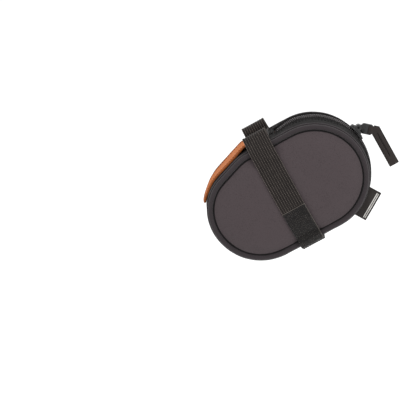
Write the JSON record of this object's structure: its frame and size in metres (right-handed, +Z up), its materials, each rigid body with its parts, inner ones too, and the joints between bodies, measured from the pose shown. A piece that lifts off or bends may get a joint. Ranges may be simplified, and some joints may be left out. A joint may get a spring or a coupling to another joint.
{
  "type": "saddle bag",
  "caption": "Small domed foam-cloth bag that straps under a bicycle saddle's two rails, with a coil zip round its rear and a hook-and-loop elastic strap.",
  "frame": {"origin": "midway between the two saddle rail axes where the strap crosses them, as installed", "axes": "+X rearward on the bicycle and level, +Y to the bicycle's side away from the label, +Z straight up; the rails and the bag slope 29 degrees up to the rear"},
  "size_m": [0.1447, 0.0752, 0.1052],
  "materials": {
    "foam_cloth": "knit-faced foam, matte",
    "edge_roll": "rolled knit binding, matte",
    "gusset_cloth": "woven nylon, matte",
    "lining_cloth": "light woven nylon, satin",
    "elastic": "ribbed elastic webbing, matte",
    "loop_cloth": "brushed loop pile, matte",
    "hook_tape": "moulded hook tape, matte",
    "zip_tape": "woven zip tape, matte",
    "zip_coil": "nylon coil, satin",
    "slider_enamel": "black enamel, gloss",
    "pin_steel": "steel pin, satin",
    "tab_plastic": "moulded plastic, gloss",
    "pull_webbing": "folded woven tape, matte",
    "guard_cloth": "coated woven cloth, satin",
    "label_cloth": "folded woven tape, matte"
  },
  "bodies": {
    "bag": {"side_panel_left_front": "foam_cloth", "side_panel_right_front": "foam_cloth", "edge_binding_left_front": "edge_roll", "edge_binding_right_front": "edge_roll", "gusset_front": "gusset_cloth", "lining_front": "lining_cloth", "zip_end_tab_top": "gusset_cloth", "zip_end_tab_bottom": "gusset_cloth", "strap_anchor": "elastic", "strap_loop_left": "elastic", "strap_loop_right": "elastic", "strap_arm_right": "elastic", "guard_flap": "guard_cloth"},
    "mouth_left": {"side_panel_left_rear": "foam_cloth", "edge_binding_left_rear": "edge_roll", "gusset_rear_left": "gusset_cloth", "zip_tape_left": "zip_tape", "zip_coil_left": "zip_coil", "lining_left": "lining_cloth", "label_tab": "label_cloth"},
    "mouth_right": {"side_panel_right_rear": "foam_cloth", "edge_binding_right_rear": "edge_roll", "gusset_rear_right": "gusset_cloth", "zip_tape_right": "zip_tape", "zip_coil_right": "zip_coil", "lining_right": "lining_cloth"},
    "zip_slider": {"slider_body": "slider_enamel", "slider_pin": "pin_steel"},
    "zip_pull": {"pull_tab": "tab_plastic"},
    "pull_tape": {"pull_tape": "pull_webbing"},
    "strap_arm": {"elastic_arm_left": "elastic", "loop_patch": "loop_cloth"},
    "strap_tail": {"strap_tail": "elastic", "hook_patch": "hook_tape"}
  },
  "joints": [
    {"name": "mouth_left_open", "type": "hinge", "parent": "bag", "child": "mouth_left", "pos_m": [0.03296, -0.031, -0.0338], "axis": [0.4818, 0, -0.8763], "range_deg": [0, 16]},
    {"name": "mouth_right_open", "type": "hinge", "parent": "bag", "child": "mouth_right", "pos_m": [0.03296, 0.031, -0.0338], "axis": [-0.4818, 0, 0.8763], "range_deg": [0, 16]},
    {"name": "zip_run", "type": "hinge", "parent": "mouth_left", "child": "zip_slider", "pos_m": [0.04313, 0, -0.02821], "axis": [0, 1, 0], "range_deg": [-64, 84]},
    {"name": "pull_flip", "type": "hinge", "parent": "zip_slider", "child": "zip_pull", "pos_m": [0.0761, 0, 0.00499], "axis": [0, -1, 0], "range_deg": [0, 118]},
    {"name": "pull_tape_swing", "type": "hinge", "parent": "zip_pull", "child": "pull_tape", "pos_m": [0.08491, 0, 0.00312], "axis": [0.2079, 0, 0.9781], "range_deg": [-70, 70]},
    {"name": "strap_tail_peel", "type": "hinge", "parent": "bag", "child": "strap_tail", "pos_m": [0.043, 0.0284, -0.07821], "axis": [0.8763, 0, 0.4818], "range_deg": [0, 100]},
    {"name": "strap_arm_swing", "type": "hinge", "parent": "bag", "child": "strap_arm", "pos_m": [0, -0.022, 0], "axis": [-0.8763, 0, -0.4818], "range_deg": [0, 25]}
  ],
  "couplings": [
    {"joint": "mouth_right_open", "follows": "mouth_left_open", "ratio": 1},
    {"joint": "strap_arm_swing", "follows": "strap_tail_peel", "ratio": 0.25}
  ]
}
